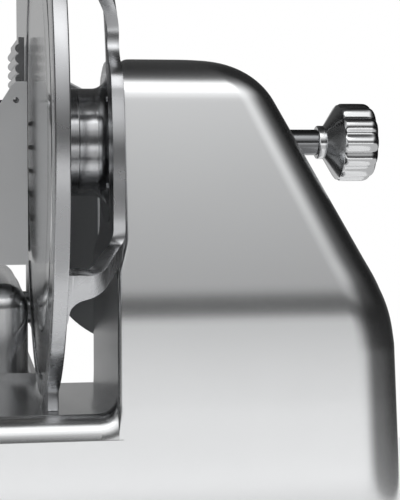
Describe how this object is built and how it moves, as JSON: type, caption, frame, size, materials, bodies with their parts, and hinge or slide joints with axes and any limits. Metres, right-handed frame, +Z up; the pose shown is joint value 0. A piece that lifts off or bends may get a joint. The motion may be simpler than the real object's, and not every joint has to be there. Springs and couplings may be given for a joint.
{
  "type": "meat slicer",
  "caption": "Belt-driven slicer with an upright round blade, ring guard, sliding product tray with pusher, thickness gauge, motor hump and a fluted knob that holds the blade cover.",
  "frame": {"origin": "middle of the sole of the rear foot on the motor side, on the table plane", "axes": "+Z up, +Y from the rear face towards the user, +X along the blade axis from the cutting plane towards the motor and its knob"},
  "size_m": [0.4844, 0.4959, 0.428],
  "materials": {
    "cast_aluminium": "brushed and anodised, satin",
    "polished_aluminium": "polished",
    "neck_steel": "turned and polished",
    "blade_steel": "ground and polished",
    "stainless": "fine brushed",
    "anodised_sheet": "satin",
    "steel": "bright zinc plated",
    "ground_bar": "ground and chromed",
    "black_rubber": "matt",
    "black_plastic": "satin",
    "bronze": "sintered, oiled",
    "motor_paint": "satin paint",
    "capacitor_case": "satin",
    "nylon": "satin",
    "green_plastic": "gloss",
    "red_plastic": "gloss",
    "honing_grit": "fine bonded abrasive",
    "grinding_grit": "coarse bonded abrasive"
  },
  "bodies": {
    "base": {"body_casting": "cast_aluminium", "motor_hump": "cast_aluminium", "gauge_pedestal": "cast_aluminium", "bottom_cover": "steel", "cover_screws": "steel", "rubber_feet": "black_rubber", "foot_studs": "steel", "hub_housing": "neck_steel", "wall_screws": "steel", "spindle_bearings": "ground_bar", "ring_guard": "polished_aluminium", "deflector": "anodised_sheet", "deflector_screws": "steel", "motor_case": "motor_paint", "motor_end_caps": "cast_aluminium", "motor_pillars": "steel", "drive_belt": "black_rubber", "run_capacitor": "capacitor_case", "control_box": "black_plastic", "switch_plate": "black_plastic", "cable_gland": "black_plastic", "rod_bush": "bronze", "carriage_rail": "ground_bar", "rail_brackets": "cast_aluminium", "gauge_bushes": "bronze", "sharpener_cover": "cast_aluminium", "sharpener_screws": "steel"},
    "blade_set": {"blade": "blade_steel", "blade_hub": "neck_steel", "blade_spindle": "ground_bar", "blade_pulley": "polished_aluminium", "blade_screws": "steel"},
    "cover_rod": {"tie_rod": "ground_bar", "tie_rod_knob": "polished_aluminium"},
    "cover_disc": {"blade_cover": "polished_aluminium"},
    "rotor": {"motor_shaft": "ground_bar", "motor_pulley": "polished_aluminium", "motor_fan": "black_plastic"},
    "gauge": {"gauge_plate": "cast_aluminium", "gauge_bracket": "cast_aluminium", "gauge_shafts": "ground_bar"},
    "dial": {"thickness_dial": "black_plastic", "dial_shaft": "ground_bar"},
    "carriage": {"carriage_block": "cast_aluminium", "carriage_bushes": "bronze", "carriage_arm": "cast_aluminium", "product_tray": "stainless", "pusher_rod": "ground_bar", "carriage_handle": "black_plastic"},
    "roller": {"track_roller": "nylon"},
    "pusher": {"pusher_hub": "black_plastic"},
    "press": {"press_plate": "polished_aluminium", "press_spikes": "stainless", "pusher_grip": "black_plastic"},
    "start": {"start_button": "green_plastic"},
    "stop": {"stop_button": "red_plastic"},
    "hone_push": {"honing_spindle": "black_plastic"},
    "hone_wheel": {"honing_stone": "honing_grit"},
    "grind_push": {"grinding_spindle": "black_plastic"},
    "grind_wheel": {"grinding_stone": "grinding_grit"}
  },
  "joints": [
    {"name": "blade_spin", "type": "hinge", "parent": "base", "child": "blade_set", "pos_m": [-0.1815, 0.078, 0.236], "axis": [1, 0, 0], "continuous": true},
    {"name": "motor_spin", "type": "hinge", "parent": "base", "child": "rotor", "pos_m": [-0.088, 0.051, 0.095], "axis": [1, 0, 0], "continuous": true},
    {"name": "tie_rod_turn", "type": "hinge", "parent": "base", "child": "cover_rod", "pos_m": [-0.02, 0.078, 0.236], "axis": [1, 0, 0], "range_deg": [0, 720]},
    {"name": "cover_slide", "type": "slide", "parent": "base", "child": "cover_disc", "axis": [-1, 0, 0], "range_m": [0, 0.002]},
    {"name": "gauge_slide", "type": "slide", "parent": "base", "child": "gauge", "axis": [1, 0, 0], "range_m": [0, 0.014]},
    {"name": "dial_turn", "type": "hinge", "parent": "base", "child": "dial", "pos_m": [-0.205, 0.39, 0.107], "axis": [0, -1, 0], "range_deg": [0, 301]},
    {"name": "carriage_slide", "type": "slide", "parent": "base", "child": "carriage", "axis": [0, 1, 0], "range_m": [-0.14, 0.1]},
    {"name": "roller_spin", "type": "hinge", "parent": "carriage", "child": "roller", "pos_m": [-0.2605, 0.201, 0.0803], "axis": [1, 0, 0], "continuous": true},
    {"name": "pusher_slide", "type": "slide", "parent": "carriage", "child": "pusher", "axis": [-1, 0, 0], "range_m": [0, 0.14]},
    {"name": "press_swing", "type": "hinge", "parent": "pusher", "child": "press", "pos_m": [-0.2, 0.143, 0.259], "axis": [1, 0, 0], "range_deg": [0, 75]},
    {"name": "start_press", "type": "slide", "parent": "base", "child": "start", "axis": [0, -1, 0], "range_m": [0, 0.003], "stiffness_N_per_m": 400, "springref_m": -0.001},
    {"name": "stop_press", "type": "slide", "parent": "base", "child": "stop", "axis": [0, -1, 0], "range_m": [0, 0.003], "stiffness_N_per_m": 400, "springref_m": -0.001},
    {"name": "hone_slide", "type": "slide", "parent": "base", "child": "hone_push", "axis": [1, 0, 0], "range_m": [0, 0.0012], "stiffness_N_per_m": 500, "springref_m": -0.001},
    {"name": "hone_spin", "type": "hinge", "parent": "hone_push", "child": "hone_wheel", "pos_m": [-0.187, 0.078, 0.398], "axis": [1, 0, 0], "continuous": true},
    {"name": "grind_slide", "type": "slide", "parent": "base", "child": "grind_push", "axis": [-1, 0, 0], "range_m": [0, 0.0012], "stiffness_N_per_m": 500, "springref_m": -0.001},
    {"name": "grind_spin", "type": "hinge", "parent": "grind_push", "child": "grind_wheel", "pos_m": [-0.173, 0.078, 0.398], "axis": [1, 0, 0], "continuous": true}
  ],
  "couplings": [
    {"joint": "motor_spin", "follows": "blade_spin", "ratio": 3},
    {"joint": "cover_slide", "follows": "tie_rod_turn", "m_per_rad": 0.000159},
    {"joint": "dial_turn", "follows": "gauge_slide", "rad_per_m": 375}
  ]
}
